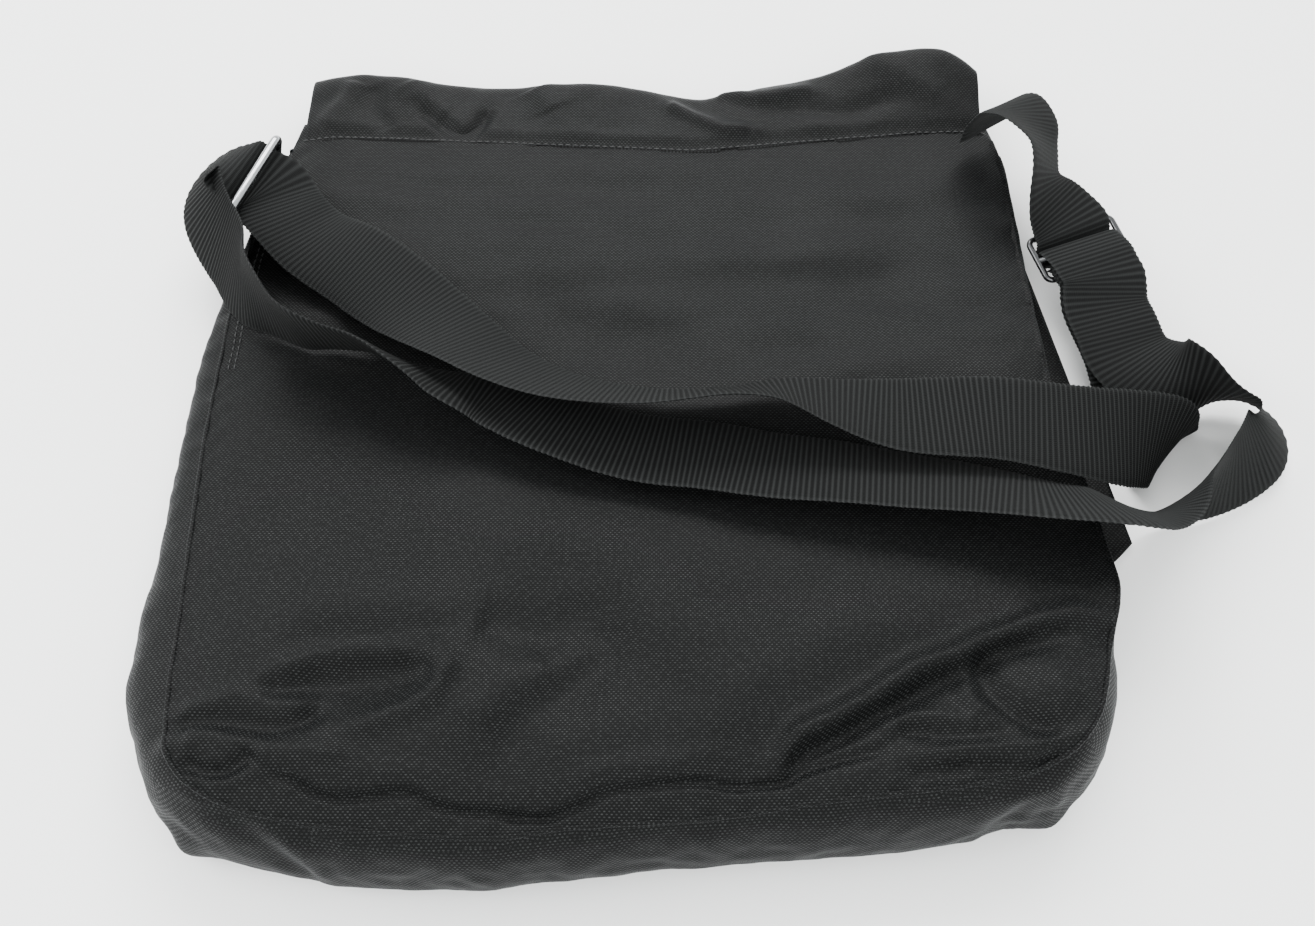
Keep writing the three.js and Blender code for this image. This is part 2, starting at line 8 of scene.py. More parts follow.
import bpy
import numpy as np
from mathutils import Euler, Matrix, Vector, noise
from mathutils.bvhtree import BVHTree
from mathutils.kdtree import KDTree


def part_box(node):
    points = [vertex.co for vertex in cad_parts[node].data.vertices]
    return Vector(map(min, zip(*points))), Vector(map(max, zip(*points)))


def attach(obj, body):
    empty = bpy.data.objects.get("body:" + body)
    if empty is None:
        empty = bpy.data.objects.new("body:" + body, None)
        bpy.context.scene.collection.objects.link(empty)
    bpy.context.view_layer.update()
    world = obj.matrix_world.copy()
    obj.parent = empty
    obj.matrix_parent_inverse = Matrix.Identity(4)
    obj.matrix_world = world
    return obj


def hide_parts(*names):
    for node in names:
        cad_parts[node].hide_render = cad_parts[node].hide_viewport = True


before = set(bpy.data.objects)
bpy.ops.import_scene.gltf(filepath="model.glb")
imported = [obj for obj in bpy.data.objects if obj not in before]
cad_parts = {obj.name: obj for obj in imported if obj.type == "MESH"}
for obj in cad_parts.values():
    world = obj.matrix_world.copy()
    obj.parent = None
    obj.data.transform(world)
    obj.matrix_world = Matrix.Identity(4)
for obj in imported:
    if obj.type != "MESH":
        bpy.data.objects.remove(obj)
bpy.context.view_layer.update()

MM = 0.001
fine = 3


def pick(*objects):
    """Makes these the only selected objects, and the first one active."""
    bpy.ops.object.select_all(action="DESELECT")
    for obj in objects:
        obj.select_set(True)
    bpy.context.view_layer.objects.active = objects[0]


def apply_modifier(obj, kind, **settings):
    pick(obj)
    modifier = obj.modifiers.new(kind, kind)
    for name, value in settings.items():
        setattr(modifier, name, value)
    bpy.ops.object.modifier_apply(modifier=modifier.name)


def points_of(obj):
    points = np.zeros(len(obj.data.vertices) * 3)
    obj.data.vertices.foreach_get("co", points)
    return points.reshape(-1, 3)


def normals_of(obj):
    normals = np.zeros(len(obj.data.vertices) * 3)
    obj.data.vertices.foreach_get("normal", normals)
    return normals.reshape(-1, 3)


def move_points(obj, points):
    obj.data.vertices.foreach_set("co", np.ascontiguousarray(points).ravel())
    obj.data.update()


def smooth_step(low, high, value):
    share = np.clip((value - low) / (high - low), 0, 1)
    return share * share * (3 - 2 * share)


def waves(points, size, seed):
    """Soft uneven lift between -1 and 1, with bumps of about that size."""
    shift = Vector((seed, 2 * seed, 3 * seed))
    return np.array([noise.noise(Vector(p) / size + shift) for p in points]) * 1.6


def evened(values, spread):
    """The same row of values with its sudden turns averaged away."""
    count = int(4 * spread) + 1
    weights = np.exp(-((np.arange(-count, count + 1) / spread) ** 2))
    before = 2 * values[0] - values[count:0:-1]
    after = 2 * values[-1] - values[-2:-count - 2:-1]
    padded = np.concatenate([before, values, after])
    return np.convolve(padded, weights / weights.sum(), "valid")


def size_of(obj):
    low, high = points_of(obj).min(0), points_of(obj).max(0)
    return " x ".join(f"{side:.3f}" for side in high - low) + " m"


# %% [markdown]
# A finish is a small graph of nodes. Writing it as sums keeps it readable: a Value is one number or colour
# in the graph, and each sum adds its own node.
# %% Finishes written as sums
class Finish:
    """A material whose nodes are made by the sums written for it."""

    def __init__(self, name, **sockets):
        self.material = bpy.data.materials.new(name)
        self.material.use_nodes = True
        self.nodes = self.material.node_tree.nodes
        self.links = self.material.node_tree.links
        self.shader = next(n for n in self.nodes if n.type == "BSDF_PRINCIPLED")
        for socket, value in sockets.items():
            self.shader.inputs[socket.replace("_", " ")].default_value = value

    def node(self, kind, inputs=None, out=0, **settings):
        """Any node: its settings, its inputs by name or number, and which output is the result."""
        made = self.nodes.new(kind)
        for name, value in settings.items():
            setattr(made, name, value)
        for socket, value in (inputs or {}).items():
            self.feed(made.inputs[socket], value)
        return Value(self, made.outputs[out])

    def feed(self, socket, value):
        if isinstance(value, Value):
            self.links.new(value.socket, socket)
        else:
            socket.default_value = value

    def mix(self, share, a, b):
        """Colour a where share is 0 and b where it is 1."""
        return self.node("ShaderNodeMix", {0: share, 6: a, 7: b}, out=2, data_type="RGBA")

    def set(self, **sockets):
        for socket, value in sockets.items():
            self.feed(self.shader.inputs[socket.replace("_", " ")], value)

    def bump(self, height, distance, strength=1.0):
        inputs = {"Height": height, "Distance": distance, "Strength": strength}
        self.set(Normal=self.node("ShaderNodeBump", inputs))


class Value:
    def __init__(self, finish, socket):
        self.finish = finish
        self.socket = socket

    def sum(self, operation, *terms):
        return self.finish.node("ShaderNodeMath", dict(enumerate(terms)), operation=operation)

    def __add__(self, other):
        return self.sum("ADD", self, other)

    def __radd__(self, other):
        return self.sum("ADD", other, self)

    def __sub__(self, other):
        return self.sum("SUBTRACT", self, other)

    def __rsub__(self, other):
        return self.sum("SUBTRACT", other, self)

    def __mul__(self, other):
        return self.sum("MULTIPLY", self, other)

    def __truediv__(self, other):
        return self.sum("DIVIDE", self, other)

    def fraction(self):
        return self.sum("FRACT", self)

    def whole(self):
        return self.sum("FLOOR", self)

    def sine(self):
        return self.sum("SINE", self)

    def size(self):
        return self.sum("ABSOLUTE", self)

    def root(self):
        return self.sum("SQRT", self)

    def between(self, low, high, to_low=0.0, to_high=1.0):
        """This value eased from low to high."""
        return self.finish.node(
            "ShaderNodeMapRange", {0: self, 1: low, 2: high, 3: to_low, 4: to_high},
            interpolation_type="SMOOTHSTEP")


def map_of(finish):
    """The two flat coordinates of a piece, in metres."""
    flat = finish.node("ShaderNodeUVMap", uv_map="flat")
    parts = finish.nodes.new("ShaderNodeSeparateXYZ")
    finish.links.new(flat.socket, parts.inputs[0])
    return Value(finish, parts.outputs[0]), Value(finish, parts.outputs[1]), flat


def speckle(finish, at, scale, detail=2.0):
    return finish.node("ShaderNodeTexNoise", {"Vector": at, "Scale": scale, "Detail": detail})


print("helpers ready")

# %% [markdown]
# The bag's nylon has a small dobby weave: short floats of shiny yarn sit in staggered rows on a duller
# ground. The floats catch the light as rows of pale dots; their paler colour is a painted glint, which
# shows in patches. The whole cloth has a cool sheen and slight cloudiness from handling.
# %% The nylon
DOT_PITCH = 1.6 * MM
ROW_PITCH = 0.85 * MM

nylon = Finish("black nylon", Sheen_Weight=0.008, Sheen_Roughness=0.4, Specular_IOR_Level=0.08)
nylon.shader.inputs["Sheen Tint"].default_value = (0.6, 0.7, 0.9, 1)
across, along, flat = map_of(nylon)
row = (along / ROW_PITCH).whole()
stagger = (row * 0.5).fraction()
beside = ((across / DOT_PITCH + stagger).fraction() - 0.5) * (DOT_PITCH / MM)
above = ((along / ROW_PITCH).fraction() - 0.5) * (ROW_PITCH / MM)
reach = ((beside * 1.8) * (beside * 1.8) + (above * 3.2) * (above * 3.2)).root()
dot = reach.between(0.45, 1.0, 1.0, 0.0)
yarn = ((across / (0.35 * MM)).sine() * 0.5 + 0.5) * 0.25
cloud = speckle(nylon, flat, 35)
# A fine noise: it roughens the bump, and it sets the patches where the painted glint of the dots shows.
grain_and_glint = speckle(nylon, flat, 520)
# The dots are painted paler here: a painted glint of the shiny floats.
painted_glint = dot * (grain_and_glint.between(0.35, 0.68, 0.3, 1.0))
nylon.set(
    Base_Color=nylon.mix(painted_glint, (0.0012, 0.0013, 0.0013, 1), (0.020, 0.021, 0.021, 1)),
    Roughness=0.55 - dot * 0.26 + cloud * 0.1)
nylon.bump(dot * 0.8 + yarn + grain_and_glint * 0.3, 0.18 * MM, 0.7)

# %% [markdown]
# The strap is heavy ribbed webbing. Its ribs are real geometry, so here the yarn is finer: a thread for
# each 0.8 mm of the width, fuzzy selvedges that are a little paler, and painted shade in the rib valleys
# with a painted highlight on the rib crests.
# %% The webbing, the thread and the metals
RIB_PITCH = 2.1 * MM
WEBBING_WIDTH = 38 * MM

webbing = Finish("black webbing", Sheen_Weight=0.008, Sheen_Roughness=0.5, Specular_IOR_Level=0.05)
run, side, flat = map_of(webbing)
rib = (run * (2 * math.pi / RIB_PITCH)).sine() * 0.5 + 0.5
thread = ((side + (run / RIB_PITCH).whole() * (0.4 * MM)) * (math.pi / (0.8 * MM))).sine().size()
fuzz = speckle(webbing, flat, 700, 4)
selvedge = side.size().between(0.45 * WEBBING_WIDTH, 0.5 * WEBBING_WIDTH)
# The rib term paints the rib valleys darker and the crests paler: painted shade and painted highlight on
# ribs that the geometry already has. The thread and selvedge terms are the yarn's own tone.
pale = rib * rib * 0.5 + thread * 0.2 + selvedge * 0.45 * fuzz
webbing.set(
    Base_Color=webbing.mix(pale, (0.0012, 0.0013, 0.0013, 1), (0.021, 0.022, 0.022, 1)),
    Roughness=0.72 + fuzz * 0.2)
webbing.bump(thread * 0.6 + fuzz * 0.5, 0.16 * MM, 0.8)

sewing = Finish("sewing thread", Roughness=0.55, Base_Color=(0.008, 0.0085, 0.009, 1))

chrome = Finish("gunmetal", Metallic=1.0, Base_Color=(0.3, 0.305, 0.315, 1))
place = chrome.node("ShaderNodeTexCoord", out=3)
chrome.set(Roughness=speckle(chrome, place, 260).between(0.3, 0.75, 0.14, 0.3))

lacquer = Finish("black metal", Metallic=0.9, Coat_Weight=0.6, Base_Color=(0.035, 0.036, 0.038, 1))
place = lacquer.node("ShaderNodeTexCoord", out=3)
lacquer.set(Roughness=speckle(lacquer, place, 300).between(0.3, 0.75, 0.2, 0.38))

print("finishes:", [m.name for m in bpy.data.materials])

# %% [markdown]
# Each cloth panel starts as a merged copy of its CAD solid. Only its outer face is kept, as an open sheet
# of squares, and smoothed by subdivision. That keeps every sheet exactly where its solid is.
# %% From a solid to a sheet
def outer_sheet(name, node, outwards):
    """The outer face of a CAD cloth node. outwards is the way that it looks."""
    piece = bpy.data.objects.new(name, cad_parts[node].data.copy())
    bpy.context.collection.objects.link(piece)
    piece.data.materials.clear()
    pick(piece)
    bpy.ops.object.mode_set(mode="EDIT")
    bpy.ops.mesh.select_mode(type="FACE")
    bpy.ops.mesh.select_all(action="SELECT")
    bpy.ops.mesh.remove_doubles(threshold=0.01 * MM)
    bpy.ops.mesh.tris_convert_to_quads(face_threshold=math.radians(50), shape_threshold=math.radians(60))
    bpy.ops.mesh.select_all(action="DESELECT")
    bpy.ops.object.mode_set(mode="OBJECT")
    direction = Vector(outwards)

    def outermost(face):
        return face.normal.dot(direction) + 10 * face.center.dot(direction)

    max(piece.data.polygons, key=outermost).select = True
    bpy.ops.object.mode_set(mode="EDIT")
    bpy.ops.mesh.faces_select_linked_flat(sharpness=math.radians(62))
    bpy.ops.mesh.select_all(action="INVERT")
    bpy.ops.mesh.delete(type="FACE")
    bpy.ops.object.mode_set(mode="OBJECT")
    return piece


def sew_ends(pieces, name, gap):
    """Joins sheets whose ends face each other across a gap."""
    for first, second in zip(pieces, pieces[1:]):
        a, b = points_of(first), points_of(second)
        apart = np.linalg.norm(a[:, None] - b[None], axis=2)
        for i, j in enumerate(apart.argmin(1)):
            if apart[i, j] < gap and apart[:, j].argmin() == i:
                a[i] = b[j] = (a[i] + b[j]) / 2
        move_points(first, a)
        move_points(second, b)
    pick(*pieces)
    bpy.ops.object.join()
    whole = bpy.context.view_layer.objects.active
    whole.name = name
    bpy.ops.object.mode_set(mode="EDIT")
    bpy.ops.mesh.select_all(action="SELECT")
    bpy.ops.mesh.remove_doubles(threshold=0.02 * MM)
    bpy.ops.mesh.normals_make_consistent(inside=False)
    bpy.ops.object.mode_set(mode="OBJECT")
    return whole


def lay_flat(piece):
    """Writes the weave's own coordinates, in metres, seen along each face's main direction."""
    layer = piece.data.uv_layers.get("flat") or piece.data.uv_layers.new(name="flat")
    points = points_of(piece)
    mesh = piece.data
    normals = np.zeros(len(mesh.polygons) * 3)
    mesh.polygons.foreach_get("normal", normals)
    main = np.abs(normals.reshape(-1, 3)).argmax(1)
    corners = np.zeros(len(mesh.loops), int)
    mesh.loops.foreach_get("vertex_index", corners)
    counts = np.zeros(len(mesh.polygons), int)
    mesh.polygons.foreach_get("loop_total", counts)
    axes = np.array([[1, 2], [0, 2], [0, 1]])[np.repeat(main, counts)]
    at = points[corners]
    layer.data.foreach_set("uv", np.take_along_axis(at, axes, 1).ravel())


def finish_cloth(piece, nodes, thickness):
    apply_modifier(piece, "SOLIDIFY", thickness=thickness, offset=-1, use_even_offset=False)
    lay_flat(piece)
    piece.data.materials.append(nylon.material)
    pick(piece)
    bpy.ops.object.shade_smooth()
    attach(piece, "root")
    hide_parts(*nodes)
    print(piece.name, size_of(piece), len(piece.data.polygons), "faces")


# %% [markdown]
# A fold is a path on the cloth with a lift and a half width. Cloth folds have soft shoulders, so the lift
# dies away like a bell to both sides, and it fades towards the ends of the path.
# %% How a fold lifts the cloth
def distance_to(points, path):
    """Plan distance from each point to a path, in millimetres, and the share of the path there."""
    best = np.full(len(points), 1e9)
    share = np.zeros(len(points))
    if len(path) == 1:
        path = [path[0], (path[0][0] + 0.1, path[0][1])]
    for i, (a, b) in enumerate(zip(path, path[1:])):
        a, b = np.array(a, float), np.array(b, float)
        t = np.clip(((points - a) @ (b - a)) / ((b - a) @ (b - a)), 0, 1)
        d = np.linalg.norm(points - a - t[:, None] * (b - a), axis=1)
        near = d < best
        best[near] = d[near]
        share[near] = (i + t[near]) / (len(path) - 1)
    return best, share


def fold_lift(points, folds):
    """Lift in metres at each point of a panel, from rows of (lift, half width, path) in millimetres."""
    plan = points[:, :2] / MM
    plan = plan + 1.6 * np.column_stack([waves(points, 22 * MM, 3), waves(points, 22 * MM, 7)])
    lift = np.zeros(len(points))
    for height, width, path in folds:
        away, share = distance_to(plan, path)
        ends = smooth_step(0, 0.12, share) * smooth_step(0, 0.12, 1 - share)
        ends = 1 if len(path) == 1 else 0.35 + 0.65 * ends
        lift += height * MM * ends * np.exp(-((away / width) ** 2))
    return lift


# %% [markdown]
# The back panel is the big quiet face of the bag. Near the bottom the slack cloth has folded: a long
# slanting ridge at the right, a hooked ridge round a dent at the left, and a crease that runs beside the
# bottom seam. These lines are read from the photograph as paths on the panel. The solid has only a rough
# ridge there, so it is evened out first, and then each fold is lifted where it lies in the photograph.
# %% The back panel
BACK_FOLDS = [
    # The slanting ridge at the right, and the hollow under it
    (5.0, 4.6, [(170, -92), (151, -89), (140, -91), (127, -97), (115, -102), (100, -108),
                (84, -115), (70, -124), (56, -133), (46, -142)]),
    (-4.0, 3.8, [(146, -96), (129, -102), (115, -108), (100, -115), (84, -123), (69, -132),
                 (56, -140), (49, -146)]),
    # The round bulge in the right corner, and the folds at its foot
    (3.4, 12.0, [(142, -115)]),
    (-3.0, 3.8, [(120, -104), (118, -112), (120, -119), (125, -126), (134, -131), (143, -133)]),
    (1.4, 3.5, [(113, -106), (112, -118), (117, -127)]),
    (1.8, 4.0, [(78, -129), (91, -126), (104, -127), (114, -131)]),
    (-1.4, 3.5, [(99, -132), (110, -133), (121, -134)]),
    (-2.4, 3.0, [(88, -132), (92, -131), (97, -133)]),
    (2.2, 3.6, [(94, -139), (103, -139), (117, -138), (130, -138), (142, -136), (154, -132)]),
    (-2.2, 2.8, [(88, -144), (100, -145), (116, -144), (130, -143), (145, -139)]),
    # The long crease beside the bottom seam, and the slack cloth above it
    (1.2, 5.0, [(-119, -141), (-104, -145), (-83, -147), (-62, -150), (-43, -153), (-24, -152),
                (-6, -146), (21, -141), (47, -141)]),
    (-2.2, 1.9, [(-125, -142), (-118, -147), (-106, -151), (-88, -153), (-73, -154), (-58, -157),
                 (-43, -159), (-28, -159), (-17, -156), (-6, -152), (7, -150), (21, -148),
                 (34, -149), (48, -149), (57, -145), (67, -141), (79, -138), (86, -135)]),
    # The hooked ridge at the left, and the dent that it curls round
    (3.2, 4.6, [(-134, -116), (-122, -110), (-111, -106), (-97, -103), (-84, -101), (-72, -103),
                (-66, -110), (-68, -117), (-76, -122), (-89, -128), (-104, -132)]),
    (-2.4, 6.0, [(-128, -117), (-118, -115), (-102, -115), (-88, -113), (-76, -109)]),
    # The pinched cloth in the left corner
    (2.2, 4.0, [(-156, -127), (-145, -123), (-137, -120), (-123, -121), (-108, -121)]),
    (-3.2, 3.4, [(-157, -131), (-147, -129), (-133, -130), (-121, -130), (-112, -128), (-107, -124)]),
    (2.0, 4.0, [(-152, -134), (-141, -133), (-127, -136), (-113, -139), (-94, -139)]),
    (-2.6, 3.0, [(-150, -140), (-142, -145), (-135, -146), (-130, -142), (-126, -137)]),
    (1.6, 3.0, [(-149, -145), (-139, -149), (-131, -149), (-124, -146)]),
    # Broad soft waves in the middle, and the pucker of the right corner's seam
    (-2.2, 9.0, [(-59, -90), (-43, -95), (-27, -94), (-11, -88)]),
    (-2.4, 9.0, [(-9, -90), (-10, -105), (-22, -117), (-37, -127), (-48, -141)]),
    (1.8, 9.0, [(-28, -106), (-45, -118), (-58, -131)]),
    (-1.6, 2.5, [(76, -154), (88, -157), (107, -152), (121, -151), (140, -147), (153, -135)]),
]


def rim_edges(piece):
    """The pairs of points along the open edge of a sheet."""
    mesh = piece.data
    uses = np.zeros(len(mesh.edges), int)
    edge_of = np.zeros(len(mesh.loops), int)
    mesh.loops.foreach_get("edge_index", edge_of)
    np.add.at(uses, edge_of, 1)
    ends = np.zeros(len(mesh.edges) * 2, int)
    mesh.edges.foreach_get("vertices", ends)
    return ends.reshape(-1, 2)[uses == 1]


def nearest_to(targets):
    """A finder of the nearest of these points: its number and how far away it is."""
    tree = KDTree(len(targets))
    for i, point in enumerate(targets):
        tree.insert(point, i)
    tree.balance()
    return lambda point: tree.find(point)[1:]


def away_from(points, targets):
    find = nearest_to(targets)
    return np.array([find(p)[1] for p in points])


def seam_puckers(piece, points):
    """The cloth gathers a little where it was sewn: short ripples that die away from the edge."""
    away = away_from(points, points[np.unique(rim_edges(piece))])
    ripple = np.sin((points[:, 0] - points[:, 1]) / (2.1 * MM) + 2.5 * waves(points, 30 * MM, 5))
    return 0.35 * MM * ripple * np.exp(-away / (6 * MM)) * (away > 1e-6)


def rim_path(piece, keep):
    """The points of a sheet's open edge that keep() accepts, in order along it."""
    beside = {}
    for a, b in rim_edges(piece).tolist():
        beside.setdefault(a, []).append(b)
        beside.setdefault(b, []).append(a)
    points = points_of(piece)
    kept = {i for i in beside if keep(points[i])}
    start = next(i for i in sorted(kept) if sum(n in kept for n in beside[i]) == 1)
    path, last = [start], None
    while True:
        onward = [n for n in beside[path[-1]] if n in kept and n != last]
        if not onward or onward[0] == start:
            return points[path]
        last = path[-1]
        path.append(onward[0])


def seam_roll(name, path, radius, drop):
    """The rolled edge of a seam, a soft round bead along a path."""
    line = bpy.data.curves.new(name, "CURVE")
    line.dimensions = "3D"
    line.bevel_depth = radius
    line.bevel_resolution = 2
    line.use_fill_caps = True
    spline = line.splines.new("POLY")
    path = np.column_stack([evened(path[:, k], 2) for k in range(3)])[::2]
    spline.points.add(len(path) - 1)
    swell = 1 + 0.18 * waves(path, 9 * MM, 37)
    for point, at, size in zip(spline.points, path - (0, 0, drop), swell):
        point.co = (*at, 1)
        point.radius = size
    piece = bpy.data.objects.new(name, line)
    bpy.context.collection.objects.link(piece)
    pick(piece)
    bpy.ops.object.convert(target="MESH")
    piece = bpy.context.active_object
    lay_flat(piece)
    piece.data.materials.append(nylon.material)
    bpy.ops.object.shade_smooth()
    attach(piece, "root")
    print(name, size_of(piece), len(piece.data.polygons), "faces")
    return piece


def slackened(points, rim, reach, where):
    """The sheet with its lifts averaged over that reach, by the share asked for, and kept at its rim."""
    apart = np.linalg.norm(points[:, None, :2] - points[None, :, :2], axis=2)
    weights = np.exp(-((apart / reach) ** 2))
    level = weights @ points[:, 2] / weights.sum(1)
    share = where * smooth_step(2 * MM, 14 * MM, away_from(points, points[rim]))
    return points + np.outer(share * (level - points[:, 2]), (0, 0, 1))


back_cloth = outer_sheet("back_cloth", "back_panel", (0, 0, 1))
coarse = points_of(back_cloth)
lower_right = smooth_step(0.0, 0.035, coarse[:, 0]) * smooth_step(-0.055, -0.08, coarse[:, 1])
lower_left = 0.6 * smooth_step(-0.02, -0.05, coarse[:, 0]) * smooth_step(-0.08, -0.1, coarse[:, 1])
coarse_rim = np.unique(rim_edges(back_cloth))
move_points(back_cloth, slackened(coarse, coarse_rim, 17 * MM, lower_right + lower_left))
apply_modifier(back_cloth, "SUBSURF", levels=fine, boundary_smooth="PRESERVE_CORNERS")
surface = points_of(back_cloth)
surface[:, 2] += fold_lift(surface, BACK_FOLDS)
surface[:, 2] += 0.7 * MM * waves(surface, 45 * MM, 11) + 0.22 * MM * waves(surface, 12 * MM, 13)
upper_part = smooth_step(-0.02, 0.03, surface[:, 1]) * smooth_step(0.14, 0.12, surface[:, 1])
streaks = upper_part * waves(surface * (0.35, 1, 1), 17 * MM, 41)
surface[:, 2] += 1.1 * MM * streaks + seam_puckers(back_cloth, surface)
move_points(back_cloth, surface)
back_rim = surface[np.unique(rim_edges(back_cloth))]
seam_roll("back_seam", rim_path(back_cloth, lambda p: p[1] < 0.150), 1.0 * MM, 0.5 * MM)
finish_cloth(back_cloth, ["back_panel"], 1.6 * MM)

# %% [markdown]
# The front panel faces the table. It is seen only as the edge on which the gusset stands, so it keeps the
# plain shape of its solid, apart from the two small points that the seam makes at the bottom corners.
# %% The front panel
EARS = [((-152, -159), (-0.65, -0.76), 4.0), ((144, -157), (0.6, -0.8), 2.2)]


def eared(points):
    """The bottom corners of the bag pulled out to small points: a tip, its way and its reach each."""
    for tip, way, reach in EARS:
        away, _ = distance_to(points[:, :2] / MM, [tip])
        low = 1 - smooth_step(10 * MM, 26 * MM, points[:, 2])
        points = points + np.outer(np.exp(-((away / 7) ** 2)) * low, (*way, 0)) * reach * MM
    return points


front_cloth = outer_sheet("front_cloth", "front_panel", (0, 0, -1))
apply_modifier(front_cloth, "SUBSURF", levels=fine - 1, boundary_smooth="PRESERVE_CORNERS")
move_points(front_cloth, eared(points_of(front_cloth)))
front_rim = points_of(front_cloth)[np.unique(rim_edges(front_cloth))]
seam_roll("front_seam", rim_path(front_cloth, lambda p: p[1] < 0.130), 1.0 * MM, -1.0 * MM)
finish_cloth(front_cloth, ["front_panel"], 1.6 * MM)

# %% [markdown]
# The gusset is one strip of the same cloth that runs down the left side, along the bottom and up the right
# side. The CAD has it in three lengths, so they are sewn together here before it is smoothed. It buckles
# upright where it turns the bottom corners, and a crease runs in from each of them.
# %% The gusset
GUSSET_FOLDS = [
    (-2.4, 2.4, [(-154, -152), (-135, -159), (-106, -175)]),
    (1.8, 3.0, [(-150, -147), (-133, -154), (-104, -170)]),
    (1.8, 2.6, [(76, -156), (103, -154), (128, -150), (146, -151)]),
    (-2.0, 2.4, [(106, -170), (120, -160), (130, -154)]),
]


def sew_to(points, own_rim, panel_rims, reach, shoulder):
    """Draws a sheet's open edge to the nearest panel edge, and the cloth beside it part of the way."""
    find_panel = nearest_to(panel_rims)
    pull = np.zeros((len(own_rim), 3))
    for i, point in enumerate(points[own_rim]):
        target, away = find_panel(point)
        if away < reach:
            pull[i] = panel_rims[target] - point
    find_rim = nearest_to(points[own_rim])
    found = [find_rim(p) for p in points]
    share = np.exp(-((np.array([away for _, away in found]) / shoulder) ** 2))
    return points + pull[[i for i, _ in found]] * share[:, None]


lengths = [
    outer_sheet("gusset", "gusset_left", (-1, 0, 0)),
    outer_sheet("gusset_2", "gusset_bottom", (0, -1, 0)),
    outer_sheet("gusset_3", "gusset_right", (1, 0, 0)),
]
gusset_cloth = sew_ends(lengths, "gusset_cloth", 6 * MM)
apply_modifier(gusset_cloth, "SUBSURF", levels=fine, boundary_smooth="PRESERVE_CORNERS")
surface = points_of(gusset_cloth)
stretched = surface * (1, 1, 0.35)
hang = np.sin(np.clip((surface[:, 2] - 2 * MM) / (38 * MM), 0, 1) * math.pi)
low_part = smooth_step(0.02, -0.13, surface[:, 1])
buckle = (0.9 * waves(stretched, 20 * MM, 17) * (0.35 + low_part) + 0.4 * waves(surface, 7 * MM, 19)) * MM
surface += normals_of(gusset_cloth) * (buckle * hang + fold_lift(surface, GUSSET_FOLDS) * hang)[:, None]
surface = eared(surface)
panel_rims = np.vstack([back_rim - (0, 0, 0.3 * MM), front_rim + (0, 0, 0.8 * MM)])
surface = sew_to(surface, np.unique(rim_edges(gusset_cloth)), panel_rims, 8 * MM, 6 * MM)
move_points(gusset_cloth, surface)
finish_cloth(gusset_cloth, ["gusset_left", "gusset_bottom", "gusset_right"], 1.4 * MM)

# %% [markdown]
# The flap is sewn across the back, goes out over the mouth and folds round under the bag. Its fold isn't
# pressed flat: the slack cloth stands in waves, with sharp little tucks between them.
# %% The flap
FLAP_FOLDS = [
    (2.0, 6.0, [(-148, 164), (-140, 176), (-134, 190)]),
    (-1.8, 5.0, [(-128, 188), (-124, 172), (-118, 162)]),
    (2.0, 7.0, [(-112, 190), (-104, 178), (-92, 168)]),
    (-3.0, 3.4, [(-106, 176), (-95, 165), (-84, 156), (-77, 163), (-72, 176)]),
    (1.8, 8.0, [(-50, 188), (-42, 172)]),
    (2.8, 4.0, [(10, 176), (18, 172), (37, 161), (52, 160)]),
    (2.4, 4.5, [(34, 186), (50, 181), (84, 184)]),
    (-1.6, 5.0, [(60, 172), (90, 170), (120, 178)]),
    (1.6, 8.0, [(104, 204), (120, 190), (140, 176)]),
]
SEAM = [(-160, 157), (-90, 154), (-38, 151), (22, 147.5), (72, 153), (120, 158), (162, 162)]


def flap_seam(x):
    """Where the flap is sewn to the back panel: its y at each x."""
    across, up = np.array(SEAM).T * MM
    return np.interp(x, across, up)


flap_cloth = outer_sheet("flap_cloth", "flap", (0, 0, 1))
apply_modifier(flap_cloth, "SUBSURF", levels=fine, boundary_smooth="PRESERVE_CORNERS")
surface = points_of(flap_cloth)
on_top = smooth_step(8 * MM, 16 * MM, surface[:, 2]) * smooth_step(0.152, 0.162, surface[:, 1])
surface[:, 2] += on_top * fold_lift(surface, FLAP_FOLDS)
surface[:, 2] += on_top * (0.6 * waves(surface, 26 * MM, 23) + 0.25 * waves(surface, 9 * MM, 29)) * MM
seam_y = flap_seam(surface[:, 0])
sewn = (surface[:, 2] > 12 * MM) * (1 - smooth_step(1 * MM, 9 * MM, surface[:, 1] - seam_y))
lap = (surface[:, 2] > 12 * MM) * (surface[:, 1] < seam_y)
surface[:, 2] -= 1.9 * MM * sewn + 1.4 * MM * lap
move_points(flap_cloth, surface)
finish_cloth(flap_cloth, ["flap"], 1.5 * MM)

# %% [markdown]
# Webbing is woven on a narrow loom, so it has a rib for each pass of the weft and a selvedge that bulges
# out between the ribs. A strip copies the sections of its CAD solid, one after another, and is then drawn
# finely enough for each rib to be round. It is built by code, as no modelling step bends a ribbed band
# round a free path without squeezing its ribs.
# %% Ribbed webbing along a strip
def walk_along(section, beside):
    """Sections of four points each, from an end section on, or nothing if they don't come in fours."""
    seen, found = set(), []
    while section:
        if len(section) != 4:
            return []
        found.append(sorted(section))
        seen |= section
        section = set().union(*(beside[i] for i in section)) - seen
    return found


